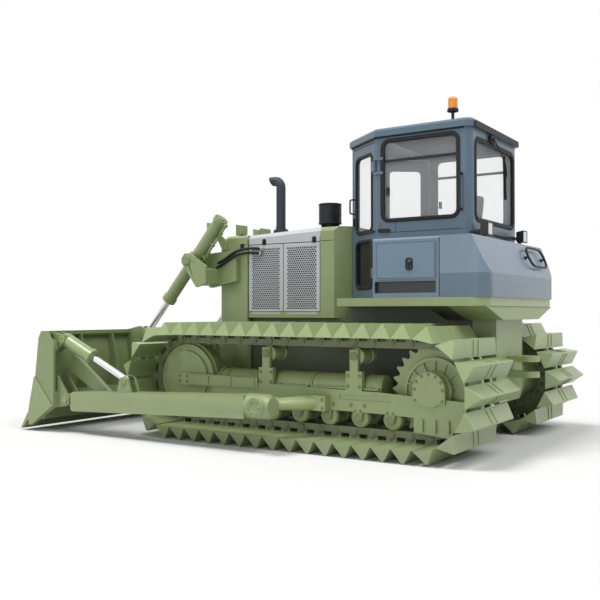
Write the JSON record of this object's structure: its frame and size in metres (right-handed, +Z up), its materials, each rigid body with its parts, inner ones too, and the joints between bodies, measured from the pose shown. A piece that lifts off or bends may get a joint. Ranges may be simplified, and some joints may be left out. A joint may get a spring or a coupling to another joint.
{
  "type": "tracked swamp dozer",
  "caption": "Low ground pressure tracked dozer with wide triangular shoes, straight tilt blade on outside push arms, lift cylinders, perforated hood panels and a glazed cab with opening doors.",
  "frame": {"origin": "on the ground under the middle of the machine's length and width", "axes": "+X forward to the blade, +Y to the operator's left, +Z up"},
  "size_m": [5.4402, 4.15, 3.576],
  "materials": {
    "sage_paint": "semi-gloss sage green",
    "track_paint": "satin sage green",
    "grey_paint": "semi-gloss blue grey",
    "silver_paint": "satin silver grey",
    "slate_paint": "matt slate",
    "black_plastic": "matt black",
    "black_rubber": "matt black",
    "chrome_rod": "polished",
    "engine_iron": "dark painted casting",
    "glass": "clear",
    "seat_cloth": "woven",
    "amber": "clear amber lens"
  },
  "bodies": {
    "chassis": {"main_frame": "sage_paint", "deck": "sage_paint", "cowl": "sage_paint", "radiator_guard": "sage_paint", "track_frame_left": "sage_paint", "track_frame_right": "sage_paint", "sprocket_left": "sage_paint", "sprocket_right": "sage_paint", "idler_left": "sage_paint", "idler_right": "sage_paint", "rollers_left": "sage_paint", "rollers_right": "sage_paint", "track_left": "track_paint", "track_right": "track_paint", "lift_yoke_left": "sage_paint", "lift_yoke_right": "sage_paint", "locker_left": "grey_paint", "side_grilles_left": "silver_paint", "locker_right": "grey_paint", "side_grilles_right": "silver_paint", "engine_block": "engine_iron", "hood_top": "silver_paint", "exhaust_stack": "slate_paint", "precleaner": "black_plastic", "fuel_tank": "grey_paint", "cab_frame": "grey_paint", "cab_roof": "grey_paint", "cab_glass": "glass", "seat": "seat_cloth", "console": "black_plastic", "beacon": "amber", "work_lamps": "black_plastic", "grab_handles": "black_plastic", "lift_hoses": "black_rubber"},
    "blade": {"moldboard": "sage_paint", "cutting_edge": "sage_paint", "push_arm_left": "sage_paint", "push_arm_right": "sage_paint", "tilt_barrel": "sage_paint", "tilt_rod": "chrome_rod", "brace_right": "sage_paint", "diagonal_braces": "sage_paint"},
    "lift_barrel_left": {"lift_barrel_left": "sage_paint"},
    "lift_rod_left": {"lift_rod_left": "chrome_rod"},
    "door_left": {"door_left": "grey_paint", "door_glass_left": "glass"},
    "lift_barrel_right": {"lift_barrel_right": "sage_paint"},
    "lift_rod_right": {"lift_rod_right": "chrome_rod"},
    "door_right": {"door_right": "grey_paint", "door_glass_right": "glass"}
  },
  "joints": [
    {"name": "blade_lift", "type": "hinge", "parent": "chassis", "child": "blade", "pos_m": [-0.62175, 0, 0.465], "axis": [0, -1, 0], "range_deg": [-8, 10.5]},
    {"name": "lift_swing_left", "type": "hinge", "parent": "chassis", "child": "lift_barrel_left", "pos_m": [1.30775, 0.65, 1.995], "axis": [0, -1, 0], "range_deg": [-9.26, 12.13]},
    {"name": "lift_stroke_left", "type": "slide", "parent": "lift_barrel_left", "child": "lift_rod_left", "axis": [0.6544, 0, -0.7561], "range_m": [-0.4496, 0.3433]},
    {"name": "door_hinge_left", "type": "hinge", "parent": "chassis", "child": "door_left", "pos_m": [-1.18858, 0.69769, 2], "axis": [0, 0, 1], "range_deg": [0, 100]},
    {"name": "lift_swing_right", "type": "hinge", "parent": "chassis", "child": "lift_barrel_right", "pos_m": [1.30775, -0.65, 1.995], "axis": [0, -1, 0], "range_deg": [-9.26, 12.13]},
    {"name": "lift_stroke_right", "type": "slide", "parent": "lift_barrel_right", "child": "lift_rod_right", "axis": [0.6544, 0, -0.7561], "range_m": [-0.4496, 0.3433]},
    {"name": "door_hinge_right", "type": "hinge", "parent": "chassis", "child": "door_right", "pos_m": [-1.18858, -0.69769, 2], "axis": [0, 0, -1], "range_deg": [0, 100]}
  ],
  "couplings": [
    {"joint": "lift_swing_left", "follows": "blade_lift", "ratio": 1.1453},
    {"joint": "lift_stroke_left", "follows": "blade_lift", "m_per_rad": -2.4371},
    {"joint": "lift_swing_right", "follows": "blade_lift", "ratio": 1.1453},
    {"joint": "lift_stroke_right", "follows": "blade_lift", "m_per_rad": -2.4371}
  ]
}
